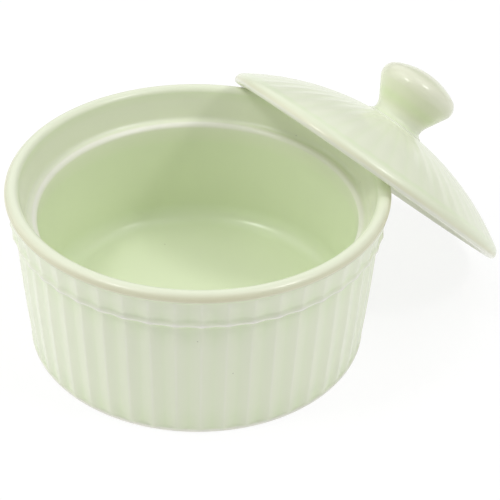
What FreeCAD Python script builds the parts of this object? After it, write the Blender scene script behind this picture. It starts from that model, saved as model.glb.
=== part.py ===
import FreeCAD, Part
import math
import os

from FreeCAD import Vector

# A small round baking dish with flutes around its wall, and its domed lid taken off and leaned
# on the rim. Lengths are in millimetres, angles in degrees. The origin is the centre of the
# dish's foot on the table, +Z is up, and -Y is the front.

# Dish, overall
rim_radius = 58.0
dish_height = 54.6
lip_rounding = 2.0
lip_width = 4.0

# Dish, recess for the lid inside the lip
recess_depth = 10.8
recess_flare = 1.9
recess_fillet = 1.5
ledge_width = 3.3
ledge_rounding = 1.5

# Dish, bowl
floor_fillet = 6.5
floor_thickness = 5.0

# Dish, foot
foot_recess_depth = 1.6
foot_width = 5.4
foot_edge_height = 1.3
foot_edge_rounding = 1.0
foot_edge_projection = 0.1

# Dish, outside of the wall, measured over the crests between the flutes
wall_thickness = 6.6
wall_taper = 2.7
bead_below_rim = 11.4
bead_width = 2.6
bead_projection = 1.6
band_projection = 1.1
band_flare = 1.1
band_below_rim = 2.5

# Flutes, as many on the lid as on the dish
flute_count = 48
flute_start = 3.7
dish_flute_depth = 0.45
lid_flute_depth = 0.38

# Lid
lid_clearance = 0.7
lid_edge_height = 2.9
lid_edge_rounding = 1.2
lid_shoulder_inset = 2.2
lid_dome_radius = 91.0
lid_thickness = 4.0
lid_seat_width = 3.0
lid_flutes_margin = 0.3
lid_flute_levels = 3
lid_flute_chords = 4
lid_hollow_levels = 6

# Knob
knob_height = 19.0
knob_radius = 13.5
knob_top_radius = 24.0
knob_edge_radius = 4.3
stem_radius = 8.6
stem_hollow_radius = 6.0
stem_waist_height = 1.4
collar_flare = 1.6
collar_height = 0.4

# How the lid leans on the rim
lean_tilt = 44.05
lean_direction = 35.8
lean_skew = 3.2
lean_clearance = 0.1

# Radii and heights that follow from the sizes above
recess_radius = rim_radius - lip_width - recess_flare
bowl_radius = recess_radius - ledge_width
wall_top_radius = bowl_radius + wall_thickness
wall_foot_radius = wall_top_radius - wall_taper
band_radius = wall_top_radius + band_projection
ledge_height = dish_height - recess_depth
floor_height = foot_recess_depth + floor_thickness
bead_height = dish_height - bead_below_rim
bead_low = bead_height - bead_width / 2
bead_high = bead_height + bead_width / 2
band_top = dish_height - band_below_rim
lid_radius = recess_radius - lid_clearance
lid_seat_radius = lid_radius - lid_seat_width
lid_flutes_radius = lid_radius - lid_shoulder_inset
lid_dome_centre = lid_edge_height - math.sqrt(lid_dome_radius ** 2 - lid_radius ** 2)
lid_dome_height = lid_dome_centre + lid_dome_radius
collar_radius = stem_radius + collar_flare
lid_flutes_inner_radius = collar_radius + lid_flutes_margin

# How far the chords of a turned rounding may lie from its true arc
chord_sag = 0.13

# Room outside the widest flutes for the ring that cuts them
cutter_margin = 4.0


def dome_height_at(radius):
    return lid_dome_centre + math.sqrt(lid_dome_radius ** 2 - radius ** 2)


def arc_points(centre, start, end):
    # Points at even steps along the arc about a centre, with each chord within the allowed sag
    first = math.atan2(start.z - centre.z, start.x - centre.x)
    last = math.atan2(end.z - centre.z, end.x - centre.x)
    sweep = (last - first + math.pi) % (2 * math.pi) - math.pi
    radius = start.distanceToPoint(centre)
    widest = 2 * math.acos(1 - chord_sag / radius)
    steps = math.ceil(abs(sweep) / widest)
    angles = [first + sweep * step / steps for step in range(steps + 1)]
    return [centre + Vector(math.cos(angle), 0, math.sin(angle)) * radius for angle in angles]


def rounded_corner(before, corner, after, rounding):
    to_before = (before - corner).normalize()
    to_after = (after - corner).normalize()
    half_angle = to_before.getAngle(to_after) / 2
    bisector = (to_before + to_after).normalize()
    reach = rounding / math.tan(half_angle)
    centre = corner + bisector * (rounding / math.sin(half_angle))
    return arc_points(centre, corner + to_before * reach, corner + to_after * reach)


def turned(points):
    # Turns a closed outline in the XZ plane about the Z axis
    kept = []
    for point in points:
        if not kept or point.distanceToPoint(kept[-1]) > 1e-6:
            kept.append(point)
    outline = Part.Face(Part.makePolygon(kept + [kept[0]]))
    return outline.revolve(Vector(0, 0, 0), Vector(0, 0, 1), 360)


def rounded_outline(corners):
    # Each corner is radius, height, rounding
    points = [Vector(radius, 0, height) for radius, height, rounding in corners]
    outline = []
    for index, (radius, height, rounding) in enumerate(corners):
        if rounding > 0:
            following = points[(index + 1) % len(points)]
            outline += rounded_corner(points[index - 1], points[index], following, rounding)
        else:
            outline.append(points[index])
    return outline


def flute_spots(radius, depth, height, steps):
    # Points around one level of the flutes: hollows that meet in crests at the given radius
    pitch = 2 * math.pi / flute_count
    spots = []
    for index in range(flute_count * steps):
        angle = math.radians(flute_start) + index * pitch / steps
        share = (index % steps) / steps
        inset = depth * 4 * share * (1 - share)
        r = radius - inset
        spots.append(Vector(r * math.cos(angle), r * math.sin(angle), height))
    return spots + spots[:1]


def wall_ring(radius, height):
    # On the dish each flute is one hollow arc from crest to crest
    spots = flute_spots(radius, dish_flute_depth, height, 2)
    arcs = [Part.Arc(*spots[start : start + 3]).toShape() for start in range(0, len(spots) - 1, 2)]
    return Part.Wire(arcs)


def flat_facets(rings):
    # A solid with flat facets between rings of points, closed flat at both ends
    faces = [Part.Face(Part.makePolygon(rings[0])), Part.Face(Part.makePolygon(rings[-1]))]
    for ring, following in zip(rings, rings[1:]):
        for spot in range(len(ring) - 1):
            corners = [ring[spot], ring[spot + 1], following[spot + 1], following[spot]]
            faces.append(Part.Face(Part.makePolygon(corners + corners[:1])))
    return Part.Solid(Part.Shell(faces))


def outside_of(fluted, radius):
    # The ring of material around a fluted solid, which is cut from a plain turned blank
    box = fluted.BoundBox
    drum = Part.makeCylinder(radius, box.ZLength, Vector(0, 0, box.ZMin))
    return drum.cut(fluted)


def fluted_wall():
    levels = [
        (wall_foot_radius, foot_edge_height),
        (wall_top_radius, bead_low),
        (wall_top_radius + bead_projection, bead_height),
        (band_radius, bead_high),
        (band_radius + band_flare, band_top),
    ]
    return Part.makeLoft([wall_ring(radius, height) for radius, height in levels], True, True)


def make_dish():
    foot_radius = wall_foot_radius + foot_edge_projection
    blank_radius = rim_radius + cutter_margin / 2
    outline = rounded_outline(
        [
            (0, foot_recess_depth, 0),
            (foot_radius - foot_width, foot_recess_depth, 0),
            (foot_radius - foot_width, 0, 0),
            (foot_radius, 0, foot_edge_rounding),
            (foot_radius, foot_edge_height, 0),
            (blank_radius, foot_edge_height, 0),
            (blank_radius, band_top, 0),
            (rim_radius, band_top, 0),
            (rim_radius, dish_height, lip_rounding),
            (rim_radius - lip_width, dish_height, lip_rounding),
            (recess_radius, ledge_height, recess_fillet),
            (bowl_radius, ledge_height, ledge_rounding),
            (bowl_radius, floor_height, floor_fillet),
            (0, floor_height, 0),
        ]
    )
    return turned(outline).cut(outside_of(fluted_wall(), rim_radius + cutter_margin))


def fluted_dome():
    # The faint scallops narrow towards the knob and grow shallower in proportion
    span = lid_flutes_radius - lid_flutes_inner_radius
    rings = []
    for level in range(lid_flute_levels + 1):
        radius = lid_flutes_radius - span * level / lid_flute_levels
        depth = lid_flute_depth * radius / lid_flutes_radius
        rings.append(flute_spots(radius, depth, dome_height_at(radius), lid_flute_chords))
    return flat_facets(rings)


def lid_hollow():
    # The hollow under the lid follows the dome in flat facets, one under each scallop. It has a
    # small flat ceiling under the knob, and a short upright step leads down to the seat.
    radius = lid_dome_radius - lid_thickness
    widest = math.asin(lid_seat_radius / radius)
    narrowest = math.asin(stem_radius / radius)
    facet_middle = math.cos(math.pi / flute_count)
    rings = []
    for level in range(lid_hollow_levels + 1):
        angle = narrowest + (widest - narrowest) * level / lid_hollow_levels
        corner_radius = radius * math.sin(angle) / facet_middle
        rings.append(flute_spots(corner_radius, 0, lid_dome_centre + radius * math.cos(angle), 1))
    rings.append(flute_spots(corner_radius, 0, -lid_thickness, 1))
    return flat_facets(rings)


def make_knob():
    # A low crowned top, a round edge, a straight flank and a hollow stem on a thin collar
    top = lid_dome_height + knob_height
    collar_top = dome_height_at(collar_radius) + collar_height
    root = dome_height_at(collar_radius) - lid_thickness / 2
    top_centre = Vector(0, 0, top - knob_top_radius)
    edge_r = knob_radius - knob_edge_radius
    rise = math.sqrt((knob_top_radius - knob_edge_radius) ** 2 - edge_r ** 2)
    edge_centre = top_centre + Vector(edge_r, 0, rise)
    waist = Vector(stem_radius, 0, collar_top + stem_waist_height)
    stem_centre = waist + Vector(stem_hollow_radius, 0, 0)
    # The straight flank touches the round edge and the hollow stem from opposite sides
    between = stem_centre - edge_centre
    lean = math.asin((knob_edge_radius + stem_hollow_radius) / between.Length)
    flank_angle = math.atan2(between.z, between.x) - lean
    across = Vector(-math.sin(flank_angle), 0, math.cos(flank_angle))
    flank_top = edge_centre + across * knob_edge_radius
    flank_foot = stem_centre - across * stem_hollow_radius
    top_end = top_centre + (edge_centre - top_centre).normalize() * knob_top_radius
    outline = arc_points(top_centre, Vector(0, 0, top), top_end)
    outline += arc_points(edge_centre, top_end, flank_top)
    outline += arc_points(stem_centre, flank_foot, waist)
    flare = collar_radius - stem_radius
    flare_centre = Vector(collar_radius, 0, collar_top + flare)
    flare_start = Vector(stem_radius, 0, collar_top + flare)
    outline += arc_points(flare_centre, flare_start, Vector(collar_radius, 0, collar_top))
    outline += [Vector(collar_radius, 0, root), Vector(0, 0, root)]
    return turned(outline)


def make_lid():
    # In its own frame: the axis is Z and the flat underside of the edge is at height 0
    flutes_height = dome_height_at(lid_flutes_radius)
    slope = math.atan2(flutes_height - lid_edge_height, lid_shoulder_inset)
    # The shoulder's rounding takes all of the edge's height that the rounding below it leaves
    shoulder_rounding = (lid_edge_height - lid_edge_rounding) / math.tan(math.pi / 4 - slope / 2)
    edge = turned(
        rounded_outline(
            [
                (0, 0, 0),
                (lid_radius, 0, lid_edge_rounding),
                (lid_radius, lid_edge_height, shoulder_rounding),
                (lid_flutes_radius, flutes_height, 0),
                (0, flutes_height, 0),
            ]
        )
    )
    return edge.fuse([fluted_dome(), make_knob()]).cut(lid_hollow())


def lid_turn():
    # Tips the lid's axis by the tilt, a little askew of the lean direction
    heading = math.radians(lean_direction + lean_skew)
    return FreeCAD.Rotation(Vector(-math.sin(heading), math.cos(heading), 0), lean_tilt)


def edge_to_table():
    # Height of the middle of the tilted lid's underside while its lowest edge is on the table
    tilt = math.radians(lean_tilt)
    middle = (lid_radius - lid_edge_rounding) * math.sin(tilt)
    return middle + lid_edge_rounding * (1 - math.cos(tilt))


def lean_spot(distance):
    heading = math.radians(lean_direction)
    return Vector(distance * math.cos(heading), distance * math.sin(heading), edge_to_table())


def gap_to_lip(distance):
    # Smallest gap between the lip's rounding and the lid, which it meets from below: inside the
    # seat it can meet the seat's inner edge or the hollow, and outside that the flat of the seat
    middle = lean_spot(distance)
    turn_back = lid_turn().inverted()
    lip_circle_radius = rim_radius - lip_rounding
    lip_circle_height = dish_height - lip_rounding
    gaps = []
    for step in range(1440):
        angle = math.pi * step / 720
        x = lip_circle_radius * math.cos(angle)
        y = lip_circle_radius * math.sin(angle)
        spot = turn_back.multVec(Vector(x, y, lip_circle_height) - middle)
        outward = math.hypot(spot.x, spot.y)
        if outward < lid_seat_radius:
            to_edge = math.hypot(lid_seat_radius - outward, spot.z)
            to_hollow = lid_dome_radius - lid_thickness
            to_hollow -= math.hypot(outward, spot.z - lid_dome_centre)
            gaps.append(min(to_edge, to_hollow) - lip_rounding)
        elif outward < lid_radius:
            gaps.append(-spot.z - lip_rounding)
    return min(gaps, default=lid_radius)


def lean_distance():
    # Brings the lid in from well clear of the dish until only the clearance is left
    clear = rim_radius + lid_radius
    step = 0.5
    while gap_to_lip(clear - step) > lean_clearance:
        clear -= step
    touching = clear - step
    for halving in range(20):
        middle = (clear + touching) / 2
        if gap_to_lip(middle) > lean_clearance:
            clear = middle
        else:
            touching = middle
    return clear


def lean(lid):
    lid.Placement = FreeCAD.Placement(lean_spot(lean_distance()), lid_turn())
    return lid


os.makedirs("parts", exist_ok=True)
make_dish().exportStep("parts/dish.step")
lean(make_lid()).exportStep("parts/lid.step")
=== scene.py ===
import math

import bpy
import numpy as np
from mathutils import Matrix, Vector


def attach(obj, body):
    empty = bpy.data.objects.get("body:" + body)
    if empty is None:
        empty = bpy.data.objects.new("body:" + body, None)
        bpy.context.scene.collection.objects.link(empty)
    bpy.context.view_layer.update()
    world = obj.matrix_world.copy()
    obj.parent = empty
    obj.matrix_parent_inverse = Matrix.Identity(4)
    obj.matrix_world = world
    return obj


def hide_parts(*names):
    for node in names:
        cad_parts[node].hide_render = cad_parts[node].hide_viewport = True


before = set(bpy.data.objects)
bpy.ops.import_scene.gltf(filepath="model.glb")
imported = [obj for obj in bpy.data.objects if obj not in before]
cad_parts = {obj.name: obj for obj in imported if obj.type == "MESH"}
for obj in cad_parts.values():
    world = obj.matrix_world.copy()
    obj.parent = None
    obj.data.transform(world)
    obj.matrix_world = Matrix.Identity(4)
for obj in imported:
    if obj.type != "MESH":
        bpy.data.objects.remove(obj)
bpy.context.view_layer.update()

mm = 0.001


# Outline helpers, all in millimetres as radius and height

poleRadius = 0.5  # the ring of points next to the axis, which a fan closes


def straight(start, end, steps):
    across, up = end[0] - start[0], end[1] - start[1]
    return [(start[0] + across * i / steps, start[1] + up * i / steps) for i in range(steps + 1)]


def arcPoints(middle, radius, first, last, steps):
    # from one angle to another, the shorter way round
    sweep = (last - first + math.pi) % (2 * math.pi) - math.pi
    angles = [first + sweep * i / steps for i in range(steps + 1)]
    return [(middle[0] + radius * math.cos(t), middle[1] + radius * math.sin(t)) for t in angles]


def arcBetween(middle, start, end, steps):
    c, a, b = Vector(middle), Vector(start), Vector(end)
    first, last = math.atan2(a.y - c.y, a.x - c.x), math.atan2(b.y - c.y, b.x - c.x)
    return arcPoints(c, (a - c).length, first, last, steps)


def rounded(before, corner, after, radius, steps):
    # the arc that replaces a corner; before and after only give the directions away from it
    p, c, n = Vector(before), Vector(corner), Vector(after)
    u, v = (p - c).normalized(), (n - c).normalized()
    half = math.acos(max(-1, min(1, u.dot(v)))) / 2
    mid = c + (u + v).normalized() * (radius / math.sin(half))
    a = c + u * (radius / math.tan(half)) - mid
    b = c + v * (radius / math.tan(half)) - mid
    return arcPoints(mid, radius, math.atan2(a.y, a.x), math.atan2(b.y, b.x), steps)


def ramp(value, start, width):
    # 0 up to the start, then rising to 1 over the width
    return min(1.0, max(0.0, (value - start) / width))


# Flutes, as many on the lid as on the dish

fluteCount = 48
fluteStart = 3.7  # degrees from +X to the first crest
# where the columns of points stand from one crest to the next, closer together by the crests
fluteSpots = [0, 0.03, 0.08, 0.16, 0.27, 0.39, 0.5, 0.61, 0.73, 0.84, 0.92, 0.97]


def hollowAt(share, soft):
    # 0 on a crest and 1 in the middle of a hollow, with the crest softened by the glaze
    x = min(share, 1 - share)
    eased = math.sqrt(x * x + soft * soft) - soft
    middle = math.sqrt(0.25 + soft * soft) - soft
    return eased * (1 - eased) / (middle * (1 - middle))


def hollowsAround(soft):
    return np.array([hollowAt(share, soft) for _ in range(fluteCount) for share in fluteSpots])


def turnedGrid(rows, soft):
    # rows of (radius, height, flute depth) turned about Z, as an array of rows by columns
    turns = [flute + share for flute in range(fluteCount) for share in fluteSpots]
    angles = np.radians(fluteStart + np.array(turns) * 360 / fluteCount)
    hollows = hollowsAround(soft)
    grid = np.zeros((len(rows), len(angles), 3))
    for i, (radius, height, depth) in enumerate(rows):
        r = radius - depth * hollows
        grid[i, :, 0] = r * np.cos(angles)
        grid[i, :, 1] = r * np.sin(angles)
        grid[i, :, 2] = height
    return grid


# Skins

bendSpan = 0.25     # mm added to each step, which keeps the bend of tight roundings within limits
gatherShare = 0.5   # the glaze gathers in a corner less than it thins on an edge


def bendOf(grid):
    # how sharply the surface bends at each point, in 1/mm: below 0 on edges, above 0 in corners
    up = np.roll(grid, -1, 0)
    down = np.roll(grid, 1, 0)
    up[-1], down[0] = grid[-1], grid[0]
    left, right = np.roll(grid, 1, 1), np.roll(grid, -1, 1)
    normal = np.cross(right - left, up - down)
    normal /= np.maximum(np.linalg.norm(normal, axis=2, keepdims=True), 1e-9)
    total = np.zeros(grid.shape[:2])
    for a, b in ((up, down), (left, right)):
        da, db = a - grid, b - grid
        la = np.maximum(np.linalg.norm(da, axis=2), 1e-6)
        lb = np.maximum(np.linalg.norm(db, axis=2), 1e-6)
        pull = da / la[..., None] + db / lb[..., None]
        total += (pull * normal).sum(2) / ((la + lb) / 2 + bendSpan)
    total[0] = total[-1] = 0
    for _ in range(2):
        total = (total + np.roll(total, 1, 0) + np.roll(total, -1, 0)) / 3
    return np.clip(np.where(total > 0, total * gatherShare, total), -1, 1)


def meshFromGrid(name, grid, place, glazeAndPaintedLight, claysAndShade):
    # joins the rows into one closed skin, with a fan at each pole
    rows, cols = grid.shape[:2]
    bend = bendOf(grid)
    verts = [tuple(place @ Vector((0, 0, grid[0, 0, 2] * mm)))]
    flat = grid.reshape(-1, 3) * mm
    verts += [tuple(place @ Vector(p)) for p in flat]
    verts.append(tuple(place @ Vector((0, 0, grid[-1, 0, 2] * mm))))
    last = len(verts) - 1
    faces = [(0, 1 + (c + 1) % cols, 1 + c) for c in range(cols)]
    for r in range(rows - 1):
        base, above = 1 + r * cols, 1 + (r + 1) * cols
        for c in range(cols):
            beside = (c + 1) % cols
            faces.append((base + c, base + beside, above + beside, above + c))
    top = 1 + (rows - 1) * cols
    faces += [(last, top + c, top + (c + 1) % cols) for c in range(cols)]
    mesh = bpy.data.meshes.new(name)
    mesh.from_pydata(verts, [], faces)
    mesh.polygons.foreach_set("use_smooth", [True] * len(faces))
    for label, shares in (("glazeBend", bend), ("glazeDepthAndPaintedLight", glazeAndPaintedLight), ("clayAndShadeShare", claysAndShade)):
        spread = np.broadcast_to(np.array(shares).reshape(rows, -1), (rows, cols))
        values = np.concatenate(([spread[0, 0]], spread.ravel(), [spread[-1, 0]]))
        mesh.attributes.new(label, "FLOAT", "POINT").data.foreach_set("value", values)
    mesh.update()
    piece = bpy.data.objects.new(name, mesh)
    bpy.context.collection.objects.link(piece)
    return piece


# Glaze

glazeLook = {
    "colour": (0.845, 0.890, 0.700),    # the glaze at its usual thickness
    # pooled also serves as painted shade in the bowl, on the lip and on the knob's flank
    "pooled": (0.770, 0.885, 0.590),    # where it gathers in corners and hollows
    # thin also serves as painted light in the recess and on the lid's seat
    "thin": (0.905, 0.905, 0.805),      # where it runs off edges and crests
    # clay also serves as painted shade on the lip's outer turn and on the lid's lower edge
    "clay": (0.700, 0.655, 0.440),      # the body, bare under the foot and seen through thin glaze
    "iron": (0.160, 0.130, 0.070),
    "roughness": 0.24,
    "roughnessDrift": 0.06,  # how much it varies
    "dryness": 0.5,          # roughness added where the clay is bare
    "pooling": 1.7,          # how much the bends of the surface move the glaze
    "fullShift": 0.9,        # the shift of thickness at which a colour is wholly reached
    "mottle": 0.05,          # how much the thickness drifts from place to place
    "clayPatches": 2.0,      # how unevenly thin glaze lets the clay show
    "specks": 0.45,          # how dark the few iron specks are
    "speckScale": 400,
    "speckRadius": 0.11,     # in cells of the pattern
    "speckEdge": 14.0,       # how sharply it ends
    "speckFrom": 0.984,      # the share of the cells without a speck
    "peel": 0.04,            # strength of the uneven surface, and its height in metres
    "peelDepth": 0.0004,
    "rippleShare": 0.7,      # the rest of the unevenness is grain
    "cloudScale": 30,
    "rippleScale": 150,
    "grainScale": 620,
}

# the inputs of the shader group and the values that they take
glazeInputs = {
    "Glaze": "colour", "Pooled": "pooled", "Thin": "thin", "Clay": "clay", "Iron": "iron",
    "Pooling": "pooling", "Mottle": "mottle", "Specks": "specks", "Roughness": "roughness",
    "Peel": "peel",
}


def socketValue(value):
    return (*value, 1) if isinstance(value, tuple) else value


def glazeFlowGroup(look):
    # colour, roughness and normal of a glaze that thins on edges and pools in hollows
    group = bpy.data.node_groups.new("glazeFlow", "ShaderNodeTree")
    for name, key in glazeInputs.items():
        kind = "NodeSocketColor" if isinstance(look[key], tuple) else "NodeSocketFloat"
        item = group.interface.new_socket(name=name, in_out="INPUT", socket_type=kind)
        item.default_value = socketValue(look[key])
    for name, kind in (("Colour", "NodeSocketColor"), ("Roughness", "NodeSocketFloat"),
                       ("Normal", "NodeSocketVector")):
        group.interface.new_socket(name=name, in_out="OUTPUT", socket_type=kind)
    nodes, links = group.nodes, group.links
    given = nodes.new("NodeGroupInput").outputs
    out = nodes.new("NodeGroupOutput")
    where = nodes.new("ShaderNodeTexCoord").outputs["Object"]

    def painted(label):
        node = nodes.new("ShaderNodeAttribute")
        node.attribute_name = label
        return node.outputs["Fac"]

    def maths(operation, *values, clamp=False):
        node = nodes.new("ShaderNodeMath")
        node.operation = operation
        node.use_clamp = clamp
        for socket, value in zip(node.inputs, values):
            if isinstance(value, (int, float)):
                socket.default_value = value
            else:
                links.new(value, socket)
        return node.outputs[0]

    def mixed(factor, a, b):
        node = nodes.new("ShaderNodeMix")
        node.data_type = "RGBA"
        links.new(factor, node.inputs["Factor"])
        links.new(a, node.inputs["A"])
        links.new(b, node.inputs["B"])
        return node.outputs["Result"]

    def noise(scale):
        node = nodes.new("ShaderNodeTexNoise")
        node.inputs["Scale"].default_value = scale
        node.inputs["Detail"].default_value = 2
        node.inputs["Roughness"].default_value = 0.5
        links.new(where, node.inputs["Vector"])
        return node.outputs["Fac"]

    def eased(value):
        node = nodes.new("ShaderNodeMapRange")
        node.interpolation_type = "SMOOTHSTEP"
        node.inputs["From Max"].default_value = look["fullShift"]
        links.new(value, node.inputs["Value"])
        return node.outputs["Result"]

    # the clay share also carries painted shade on the lip and on the lid's edge
    clay = painted("clayAndShadeShare")
    # slow drift of the glaze's thickness, above and below 0
    cloud = maths("SUBTRACT", noise(look["cloudScale"]), 0.5)
    drift = maths("MULTIPLY", cloud, given["Mottle"])
    shift = maths("MULTIPLY_ADD", painted("glazeBend"), given["Pooling"], drift)
    # the depth carries painted light and painted shade as well as the glaze's thickness
    shift = maths("ADD", shift, painted("glazeDepthAndPaintedLight"))
    thinned = eased(maths("MULTIPLY", shift, -1.0))
    colour = mixed(eased(shift), given["Glaze"], given["Pooled"])
    colour = mixed(thinned, colour, given["Thin"])
    # the clay shows in patches where it is only partly covered
    covered = maths("SUBTRACT", 1.0, clay)
    patch = maths("MULTIPLY", cloud, maths("MULTIPLY", covered, look["clayPatches"]))
    colour = mixed(maths("MULTIPLY_ADD", clay, patch, clay), colour, given["Clay"])
    # a few iron specks, about 0.5 mm across
    cells = nodes.new("ShaderNodeTexVoronoi")
    cells.inputs["Scale"].default_value = look["speckScale"]
    links.new(where, cells.inputs["Vector"])
    parts = nodes.new("ShaderNodeSeparateColor")
    links.new(cells.outputs["Color"], parts.inputs["Color"])
    near = maths("SUBTRACT", look["speckRadius"], cells.outputs["Distance"])
    near = maths("MULTIPLY", near, look["speckEdge"], clamp=True)
    speck = maths("MULTIPLY", near, maths("GREATER_THAN", parts.outputs["Red"], look["speckFrom"]))
    speck = maths("MULTIPLY", speck, given["Specks"])
    links.new(mixed(speck, colour, given["Iron"]), out.inputs["Colour"])
    rough = maths("MULTIPLY_ADD", cloud, look["roughnessDrift"], given["Roughness"])
    dry = maths("POWER", clay, 4.0)
    rough = maths("ADD", rough, maths("MULTIPLY", dry, look["dryness"]), clamp=True)
    links.new(rough, out.inputs["Roughness"])
    ripple = maths("MULTIPLY", noise(look["rippleScale"]), look["rippleShare"])
    grain = maths("MULTIPLY", noise(look["grainScale"]), 1 - look["rippleShare"])
    bump = nodes.new("ShaderNodeBump")
    bump.inputs["Distance"].default_value = look["peelDepth"]
    links.new(given["Peel"], bump.inputs["Strength"])
    links.new(maths("ADD", ripple, grain), bump.inputs["Height"])
    links.new(bump.outputs["Normal"], out.inputs["Normal"])
    return group


def glazeMaterial(name, look):
    material = bpy.data.materials.new(name)
    material.use_nodes = True
    nodes, links = material.node_tree.nodes, material.node_tree.links
    shader = nodes["Principled BSDF"]
    flow = nodes.new("ShaderNodeGroup")
    flow.node_tree = glazeFlowGroup(look)
    for label, key in glazeInputs.items():
        flow.inputs[label].default_value = socketValue(look[key])
    links.new(flow.outputs["Colour"], shader.inputs["Base Color"])
    links.new(flow.outputs["Roughness"], shader.inputs["Roughness"])
    links.new(flow.outputs["Normal"], shader.inputs["Normal"])
    shader.inputs["IOR"].default_value = 1.5
    return material


glaze = glazeMaterial("celadonGlaze", glazeLook)
print("glaze ready")


# Dish

dishLook = {
    "rimRadius": 58.0, "height": 54.6,
    "lipRounding": 2.0, "lipWidth": 4.0, "lipFrom": -14,    # degrees at which the lip's turn starts
    "recessDepth": 10.8, "recessRadius": 52.1, "recessFillet": 1.5,
    "bowlRadius": 48.8, "ledgeRounding": 1.5, "floorHeight": 6.6, "floorFillet": 6.5,
    "footRecess": 1.6, "footWidth": 5.4, "footEdge": 1.3, "footRadius": 52.8,
    "footFillet": 0.8, "footInnerEdge": 0.4, "footOuterEdge": 0.8,
    "wallFoot": 52.7, "wallTop": 55.4, "wallBulge": 0.3,
    "beadHeight": 43.2, "beadHalf": 1.3, "beadProjection": 1.6, "beadFullness": 0.8,
    "bandRadius": 56.5, "bandTopRadius": 57.6, "bandTop": 52.1, "bandFlare": 0.86,
    "fluteDepth": 0.45, "crestSoftness": 0.08,
    # how the flutes start above the foot and end in the cove under the lip, in steps of
    # (inward from the foot's or band's radius, above its edge or top, share of the depth)
    "fluteFoot": [(0.0, -0.25, 0.0), (0.02, -0.05, 0.25), (0.08, 0.15, 0.8)],
    "fluteEnd": [(0.14, -0.9, 1.0), (0.1, -0.6, 0.95), (0.1, -0.3, 0.8), (0.02, -0.05, 0.45)],
    # thickness of the glaze, above 0 thicker than usual, and share of the clay that shows, some of
    # them painted shade or painted light; a pair says where a fade starts and how wide it is
    # partly painted shade: thicker, more saturated glaze in the bowl also stands in for its shade
    "insideGlazeAndShade": 0.38, "insideGlazeAndShadeFade": (0.0, 6.0),      # down from the ledge
    # painted light: the recess gets thin, paler glaze, which lightens its shade
    "recessPaintedLight": -0.34, "recessPaintedLightFade": (1.5, 2.0),     # down from the top
    # partly painted shade: thick glaze on the lip and clay on its outer turn darken it, besides the
    # body showing through thin glaze
    "lipGlazeAndShade": 0.48, "lipGlazeAndShadeFade": (-3.4, 1.2),           # up to the top
    "lipClayAndShade": 0.62, "lipClayAndShadeFade": (-0.15, 0.45),         # up from the band, as a share of the lip
    "lipClayAndShadeFall": 2.2, "lipClayAndShadeGain": 1.15,                  # how it goes back to none at the top
    "hollowGlaze": 0.22,
    "bareBelow": 0.25, "bareBeyond": 46.5,              # height and radius of the unglazed ring
}


def dishRows(d):
    depth = d["fluteDepth"]
    # underside and foot ring
    inner, outer, recess = d["footRadius"] - d["footWidth"], d["footRadius"], d["footRecess"]
    plain = straight((poleRadius, recess), (inner - 1.2, recess), 6)
    plain += rounded((0, recess), (inner, recess), (inner, 0), d["footFillet"], 4)
    plain += rounded((inner, recess), (inner, 0), (outer, 0), d["footInnerEdge"], 3)
    plain += straight((inner + 1, 0), (outer - 1.6, 0), 3)
    plain += rounded((inner, 0), (outer, 0), (outer, 3), d["footOuterEdge"], 5)
    rows = [(r, z, 0) for r, z in plain]
    # wall, over the crests
    low = d["footEdge"]
    high = d["beadHeight"] - d["beadHalf"]
    rows += [(outer - inward, low + above, depth * share)
             for inward, above, share in d["fluteFoot"]]
    for i in range(11):
        t = i / 10
        z = low + 0.5 + (high - low - 1.0) * t
        bulge = 4 * d["wallBulge"] * t * (1 - t)
        rows.append((d["wallFoot"] + (d["wallTop"] - d["wallFoot"]) * t + bulge, z, depth))
    # bead, a half round that stands on the wall below and the band above
    steps = 14
    for i in range(steps + 1):
        t = i / steps
        z = d["beadHeight"] + d["beadHalf"] * (2 * t - 1)
        base = d["wallTop"] + (d["bandRadius"] - d["wallTop"]) * t
        proud = d["wallTop"] + d["beadProjection"] - base
        swell = max(0.0, math.sin(math.pi * t)) ** d["beadFullness"]
        rows.append((base + proud * swell, z, depth))
    # band, then the cove that turns out to the lip
    bandFoot = (d["bandRadius"], d["beadHeight"] + d["beadHalf"])
    widening = (d["bandTopRadius"] - d["bandRadius"]) * d["bandFlare"]
    bandHigh = (d["bandRadius"] + widening, d["bandTop"] + d["fluteEnd"][0][1])
    rows += [(r, z, depth) for r, z in straight(bandFoot, bandHigh, 6)[1:-1]]
    rows += [(d["bandTopRadius"] - inward, d["bandTop"] + above, depth * share)
             for inward, above, share in d["fluteEnd"]]
    # lip
    lip, top, rim = d["lipRounding"], d["height"], d["rimRadius"]
    plain = arcPoints((rim - lip, top - lip), lip, math.radians(d["lipFrom"]), math.pi / 2, 12)
    insideTop = (rim - d["lipWidth"], top)
    ledge = top - d["recessDepth"]
    recessFoot, ledgeEdge = (d["recessRadius"], ledge), (d["bowlRadius"], ledge)
    plain += rounded((rim, top), insideTop, recessFoot, lip, 9)[1:]
    # recess for the lid, its ledge and the bowl
    corner = rounded(insideTop, recessFoot, ledgeEdge, d["recessFillet"], 6)
    plain += straight(plain[-1], corner[0], 6)[1:-1]
    plain += corner
    edge = rounded(recessFoot, ledgeEdge, (d["bowlRadius"], 0), d["ledgeRounding"], 8)
    plain += edge
    floorCorner = (d["bowlRadius"], d["floorHeight"])
    base = rounded(ledgeEdge, floorCorner, (0, d["floorHeight"]), d["floorFillet"], 12)
    plain += straight(edge[-1], base[0], 10)[1:-1]
    plain += base
    plain += straight(base[-1], (poleRadius, d["floorHeight"]), 10)[1:]
    rows += [(r, z, 0) for r, z in plain]
    return rows


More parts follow.
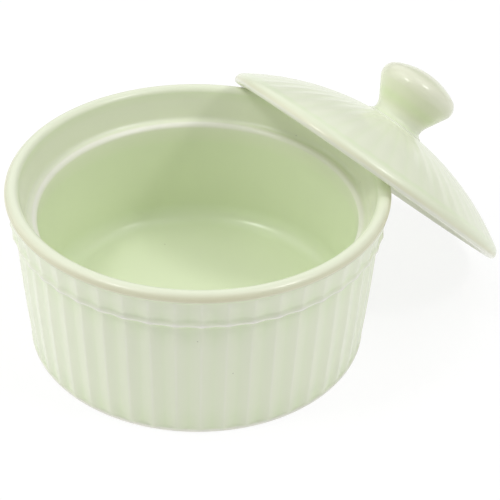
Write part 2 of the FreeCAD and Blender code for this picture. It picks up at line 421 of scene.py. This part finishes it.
def dishGlaze(rows, d):
    # thick glaze in the bowl and on the lip, thinnest on the lip's outer turn, all partly painted
    # shade;
    # thin, paler glaze in the recess as painted light; and none under the foot ring
    top = d["height"]
    ledge = top - d["recessDepth"]
    topRow = max(range(len(rows)), key=lambda i: rows[i][1])
    glazeAndPaintedLight, claysAndShade = [], []
    for i, (r, z, _) in enumerate(rows):
        # thicker glaze in the bowl, partly painted shade
        inside = ramp(ledge - z, *d["insideGlazeAndShadeFade"]) if i > topRow else 0.0
        # painted light: thin, paler glaze lightens the recess's shade
        recess = (1 - inside) * ramp(top - z, *d["recessPaintedLightFade"]) if i > topRow else 0.0
        glazeAndPaintedLight.append(d["insideGlazeAndShade"] * inside + d["recessPaintedLight"] * recess
                      + d["lipGlazeAndShade"] * ramp(z - top, *d["lipGlazeAndShadeFade"]))
        # clay on the lip's outer turn, partly the body through thin glaze and partly painted shade
        turned = (z - d["bandTop"]) / (top - d["bandTop"])
        fade = ramp(turned, *d["lipClayAndShadeFade"]) * (1 - max(0.0, turned) ** d["lipClayAndShadeFall"])
        clay = d["lipClayAndShade"] * min(1.0, d["lipClayAndShadeGain"] * fade) if i < topRow else 0.0
        claysAndShade.append(1.0 if z < d["bareBelow"] and r > d["bareBeyond"] else clay)
    return glazeAndPaintedLight, claysAndShade


rowsOfDish = dishRows(dishLook)
glazeAndPaintedLightOfDish, claysAndShadeOfDish = dishGlaze(rowsOfDish, dishLook)
dishFlutes = np.array([depth for _, _, depth in rowsOfDish]) / dishLook["fluteDepth"]
dishHollows = np.outer(dishFlutes, hollowsAround(dishLook["crestSoftness"]))
dish = meshFromGrid("dishGlazed", turnedGrid(rowsOfDish, dishLook["crestSoftness"]),
                    Matrix.Identity(4),
                    np.array(glazeAndPaintedLightOfDish)[:, None] + dishLook["hollowGlaze"] * dishHollows,
                    claysAndShadeOfDish)
dish.data.materials.append(glaze)
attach(dish, "root")
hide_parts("dish")
print("dish ready,", len(dish.data.polygons), "faces")


# Lid, in its own frame first: Z is its axis and the underside of its edge is at height 0

lidLook = {
    "radius": 51.4, "edgeHeight": 2.9, "edgeRounding": 1.2, "shoulderInset": 2.2,
    "domeRadius": 91.0, "thickness": 4.0, "seatWidth": 3.0, "seatEdge": 0.5,
    "fluteDepth": 0.16, "flutesInner": 10.5, "crestSoftness": 0.16,
    "knobHeight": 19.0, "knobRadius": 13.5, "knobTop": 24.0, "knobEdge": 4.3,
    "stemRadius": 8.6, "stemHollow": 6.0, "stemWaist": 1.4,
    "collarRadius": 10.2, "collarHeight": 0.4,
    "collarEdge": [(0.12, 0.0), (0.0, 0.10), (-0.06, 0.24), (-0.2, 0.36)],  # steps out and up
    # how it leans: degrees, and the place of its origin in the part's frame
    "tilt": 44.05, "heading": 39.0, "place": (52.0712, 37.5550, 35.2409),
    # thickness of the glaze and share of the clay, as on the dish, some of them painted shade or
    # painted light
    # partly painted shade: clay on the lid's lower rounded edge, which faces down, darkens it
    # besides showing the body through thin glaze
    "edgeClayAndShade": 0.42, "edgeReach": (-1.6, 1.6),         # out to the lid's radius
    "edgeRise": (0.7, 0.6), "edgeFall": (1.4, 1.6),     # up the edge
    "knobClay": 0.26, "knobRise": (20.4, 4.0),          # height above the edge's underside
    # partly painted shade: thick, more saturated glaze on the knob's flank, which faces down under
    # its edge, also darkens it
    "knobFlankGlazeAndShade": 0.42, "flankTop": (5.5, 3.0), "flankFoot": (-15.0, 2.0),   # from the knob's top
    "footGlaze": 0.6, "footReach": 1.6, "footAbove": 14.9,
    # painted light: the seat under the lid's edge gets thin, paler glaze, which lightens its shade
    "seatPaintedLight": -0.8, "seatPaintedLightBelow": 0.5,
    "shoulderGlaze": 0.5, "shoulderReach": (-3.6, 0.8), "shoulderRise": (0.8, 0.8),
    "hollowGlaze": 0.22, "hollowGain": 1.6,             # the gain fills the ends of the hollows
}


def lidRows(d):
    domeMiddle = d["edgeHeight"] - math.sqrt(d["domeRadius"] ** 2 - d["radius"] ** 2)

    def domeAt(r):
        return domeMiddle + math.sqrt(d["domeRadius"] ** 2 - r * r)

    # hollow underside and the flat seat
    hollow = d["domeRadius"] - d["thickness"]
    seat = d["radius"] - d["seatWidth"]
    rim = math.sqrt(hollow ** 2 - domeMiddle ** 2)
    radii = [r for r, _ in straight((poleRadius, 0), (rim - 0.7, 0), 16)]
    plain = [(r, domeMiddle + math.sqrt(hollow ** 2 - r * r)) for r in radii]
    plain += rounded((rim - 3, 2.2), (rim, 0), (d["radius"], 0), d["seatEdge"], 4)
    plain += straight((seat + 0.5, 0), (d["radius"] - d["edgeRounding"] - 0.2, 0), 2)
    plain += rounded((seat, 0), (d["radius"], 0), (d["radius"], 4), d["edgeRounding"], 8)
    # the shoulder's rounding, which runs into the dome
    first = d["radius"] - d["shoulderInset"]
    corner = Vector((d["radius"], d["edgeHeight"]))
    slope = math.atan2(domeAt(first) - corner.y, d["shoulderInset"])
    wide = (d["edgeHeight"] - d["edgeRounding"]) / math.tan(math.pi / 4 - slope / 2)
    plain += rounded((d["radius"], 0), tuple(corner), (first, domeAt(first)), wide, 10)[1:]
    rows = [(r, z, 0) for r, z in plain]
    # scalloped dome
    steps = 24
    for i in range(steps + 1):
        r = first - 0.2 + (d["flutesInner"] - first) * i / steps
        fade = min(1.0, (i + 0.4) / 1.6)
        rows.append((r, domeAt(r), -fade * d["fluteDepth"] * r / first))
    # collar, stem and knob
    top = domeMiddle + d["domeRadius"] + d["knobHeight"]
    collar, foot = d["collarRadius"], domeAt(d["collarRadius"])
    collarTop = foot + d["collarHeight"]
    topMiddle = Vector((0, top - d["knobTop"]))
    edgeOut = d["knobRadius"] - d["knobEdge"]
    edgeUp = math.sqrt((d["knobTop"] - d["knobEdge"]) ** 2 - edgeOut ** 2)
    edgeMiddle = topMiddle + Vector((edgeOut, edgeUp))
    waist = Vector((d["stemRadius"], collarTop + d["stemWaist"]))
    stemMiddle = waist + Vector((d["stemHollow"], 0))
    between = stemMiddle - edgeMiddle
    reach = math.asin((d["knobEdge"] + d["stemHollow"]) / between.length)
    turn = math.atan2(between.y, between.x) - reach
    across = Vector((-math.sin(turn), math.cos(turn)))
    flankTop = edgeMiddle + across * d["knobEdge"]
    flankFoot = stemMiddle - across * d["stemHollow"]
    topEnd = topMiddle + (edgeMiddle - topMiddle).normalized() * d["knobTop"]
    flareTop = (d["stemRadius"], collarTop + collar - d["stemRadius"])
    plain = [(collar + outward, foot + above) for outward, above in d["collarEdge"]]
    plain += arcBetween((collar, flareTop[1]), (collar, collarTop), flareTop, 9)[2:-1]
    plain += arcBetween(stemMiddle, waist, flankFoot, 10)
    plain += straight(tuple(flankFoot), tuple(flankTop), 3)[1:-1]
    plain += arcBetween(edgeMiddle, flankTop, topEnd, 16)
    plain += arcBetween(topMiddle, topEnd, (0.4, top), 8)[1:]
    rows += [(r, z, 0) for r, z in plain]
    return rows


def lidGridOf(rows, d):
    # the dome's scallops are cut downward, so their depth is taken off its height
    grid = turnedGrid([(r, z, 0) for r, z, _ in rows], d["crestSoftness"])
    hollows = hollowsAround(d["crestSoftness"])
    for i, (_, _, depth) in enumerate(rows):
        grid[i, :, 2] += depth * hollows
    return grid


def lidGlaze(rows, d):
    # thin, paler glaze on the seat as painted light; some clay on the rounded edge, partly painted
    # shade, and on the knob;
    # thick glaze on the knob's flank, partly painted shade, and around its foot; and the usual
    # glaze on the shoulder in spite of its bend
    knobEnd = max(z for _, z, _ in rows)
    glazeAndPaintedLight, claysAndShade = [], []
    for r, z, _ in rows:
        outward = r - d["radius"]
        # clay on the lower edge, partly painted shade
        edge = (ramp(outward, *d["edgeReach"]) * ramp(z, *d["edgeRise"])
                * (1 - ramp(z, *d["edgeFall"])))
        claysAndShade.append(d["edgeClayAndShade"] * edge + d["knobClay"] * ramp(z, *d["knobRise"]))
        # the knob's flank, thicker glaze and partly painted shade
        flank = ramp(knobEnd - z, *d["flankTop"]) * ramp(z - knobEnd, *d["flankFoot"])
        nearFoot = max(0.0, 1 - abs(r - d["collarRadius"]) / d["footReach"])
        foot = nearFoot if z > d["footAbove"] else 0.0
        # painted light on the seat, which lies in shade
        seat = 1.0 if z < d["seatPaintedLightBelow"] else 0.0
        shoulder = ramp(outward, *d["shoulderReach"]) * ramp(z, *d["shoulderRise"])
        glazeAndPaintedLight.append(d["knobFlankGlazeAndShade"] * flank + d["footGlaze"] * foot
                      + d["seatPaintedLight"] * seat + d["shoulderGlaze"] * shoulder)
    return glazeAndPaintedLight, claysAndShade


heading = math.radians(lidLook["heading"])
leanAxis = Vector((-math.sin(heading), math.cos(heading), 0))
lidPlace = Matrix.Translation(Vector(lidLook["place"]) * mm)
lidPlace = lidPlace @ Matrix.Rotation(math.radians(lidLook["tilt"]), 4, leanAxis)
rowsOfLid = lidRows(lidLook)
glazeAndPaintedLightOfLid, claysAndShadeOfLid = lidGlaze(rowsOfLid, lidLook)
lidFlutes = np.array([-depth for _, _, depth in rowsOfLid]) / lidLook["fluteDepth"]
lidHollows = np.outer(np.minimum(1, lidLook["hollowGain"] * lidFlutes),
                      hollowsAround(lidLook["crestSoftness"]))
lid = meshFromGrid("lidGlazed", lidGridOf(rowsOfLid, lidLook), lidPlace,
                   np.array(glazeAndPaintedLightOfLid)[:, None] + lidLook["hollowGlaze"] * lidHollows,
                   claysAndShadeOfLid)
lid.data.materials.append(glaze)
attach(lid, "root")
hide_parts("lid")
print("lid ready,", len(lid.data.polygons), "faces")


# Floor and world

stageLook = {
    "floorSize": 30.0,
    "floorDrop": 0.0001,     # keeps the floor just under the foot
    "floorBounce": 0.86,     # how pale the floor is to everything but the camera
    "floorShown": 0.18,      # the share of the camera's floor that takes the shadow
    "floorGlow": 0.85,       # and the light that it gives off itself
    "floorLift": 0.21,       # light that comes up through the table
    "worldLight": 0.285,
}


def seenBy(tree, *kinds):
    # 1 for a ray of any of these kinds
    rays = tree.nodes.new("ShaderNodeLightPath")
    seen = rays.outputs[kinds[0]]
    for kind in kinds[1:]:
        either = tree.nodes.new("ShaderNodeMath")
        either.operation = "MAXIMUM"
        tree.links.new(seen, either.inputs[0])
        tree.links.new(rays.outputs[kind], either.inputs[1])
        seen = either.outputs[0]
    return seen


def litDiffuse(tree, shade, glow):
    # a grey that also gives off light of its own
    diffuse = tree.nodes.new("ShaderNodeBsdfDiffuse")
    diffuse.inputs["Color"].default_value = (shade, shade, shade, 1)
    light = tree.nodes.new("ShaderNodeEmission")
    light.inputs["Strength"].default_value = glow
    both = tree.nodes.new("ShaderNodeAddShader")
    tree.links.new(diffuse.outputs[0], both.inputs[0])
    tree.links.new(light.outputs[0], both.inputs[1])
    return both.outputs[0]


floorMaterial = bpy.data.materials.new("paleFloor")
floorMaterial.use_nodes = True
floorTree = floorMaterial.node_tree
floorTree.nodes.remove(floorTree.nodes["Principled BSDF"])
floorSeen = seenBy(floorTree, "Is Camera Ray", "Is Glossy Ray", "Is Transmission Ray")
hidden = litDiffuse(floorTree, stageLook["floorBounce"], stageLook["floorLift"])
shown = litDiffuse(floorTree, stageLook["floorShown"], stageLook["floorGlow"])
pick = floorTree.nodes.new("ShaderNodeMixShader")
for socket, source in zip(pick.inputs, (floorSeen, hidden, shown)):
    floorTree.links.new(source, socket)
floorTree.links.new(pick.outputs[0], floorTree.nodes["Material Output"].inputs["Surface"])

half = stageLook["floorSize"] / 2
corners = [(-half, -half, 0), (half, -half, 0), (half, half, 0), (-half, half, 0)]
floorMesh = bpy.data.meshes.new("floor")
floorMesh.from_pydata(corners, [], [(0, 1, 2, 3)])
floor = bpy.data.objects.new("floor", floorMesh)
floor.location.z = -stageLook["floorDrop"]
floor.data.materials.append(floorMaterial)
bpy.context.collection.objects.link(floor)

world = bpy.data.worlds.new("studio")
world.use_nodes = True
sky = world.node_tree.nodes["Background"]
sky.inputs["Color"].default_value = (1, 1, 1, 1)
strength = world.node_tree.nodes.new("ShaderNodeMapRange")
strength.inputs["To Min"].default_value = stageLook["worldLight"]
strength.inputs["To Max"].default_value = 1.0
worldSeen = seenBy(world.node_tree, "Is Camera Ray", "Is Transmission Ray")
world.node_tree.links.new(worldSeen, strength.inputs["Value"])
world.node_tree.links.new(strength.outputs["Result"], sky.inputs["Strength"])
bpy.context.scene.world = world


# Lamps

lampAim = (0.02, 0.01, 0.03)
lampLook = {
    # where each lamp stands, how large it is and its power in watts
    "keyLeft": {"at": (-0.52, -0.29, 0.98), "size": (0.17, 0.17), "watts": 1.75},
    "keyRight": {"at": (0.60, -0.24, 0.92), "size": (0.17, 0.17), "watts": 1.75},
    "softLeft": {"at": (-0.58, 0.05, 1.00), "size": (0.90, 0.90), "watts": 3.4},
    "softRight": {"at": (0.56, 0.02, 1.02), "size": (0.90, 0.90), "watts": 3.4},
    "sideLeft": {"at": (-1.10, 0.15, 0.35), "size": (1.00, 0.80), "watts": 2.6},
    "sideRight": {"at": (1.10, 0.15, 0.35), "size": (1.00, 0.80), "watts": 0.2},
    "softBack": {"at": (0.00, 1.10, 0.80), "size": (1.20, 0.80), "watts": 1.6},
}
for name, look in lampLook.items():
    lamp = bpy.data.lights.new(name, "AREA")
    lamp.shape = "RECTANGLE"
    lamp.size, lamp.size_y = look["size"]
    lamp.energy = look["watts"]
    holder = bpy.data.objects.new(name, lamp)
    holder.location = look["at"]
    toAim = Vector(lampAim) - Vector(look["at"])
    holder.rotation_euler = toAim.to_track_quat("-Z", "Y").to_euler()
    bpy.context.collection.objects.link(holder)
print("stage and lamps ready")


# Camera

cameraLook = {
    "target": (0.0161362, 0.0, 0.02862), "distance": 0.4697066,
    "elevation": 36.0471, "roll": 1.97535, "lens": 108.9472, "sensor": 36.0,
}
elevation = math.radians(cameraLook["elevation"])
forward = Vector((0, math.cos(elevation), -math.sin(elevation)))
sideways = Vector((1, 0, 0))
upward = sideways.cross(forward)
roll = math.radians(cameraLook["roll"])
cameraX = sideways * math.cos(roll) + upward * math.sin(roll)
cameraY = upward * math.cos(roll) - sideways * math.sin(roll)
spot = Vector(cameraLook["target"]) - forward * cameraLook["distance"]
camera = bpy.data.cameras.new("camera")
camera.lens = cameraLook["lens"]
camera.sensor_width = cameraLook["sensor"]
cameraObject = bpy.data.objects.new("camera", camera)
cameraTurn = Matrix((cameraX, cameraY, -forward)).transposed().to_4x4()
cameraObject.matrix_world = Matrix.Translation(spot) @ cameraTurn
bpy.context.collection.objects.link(cameraObject)
bpy.context.scene.camera = cameraObject
bpy.context.scene.view_settings.view_transform = "Standard"
print("camera ready")
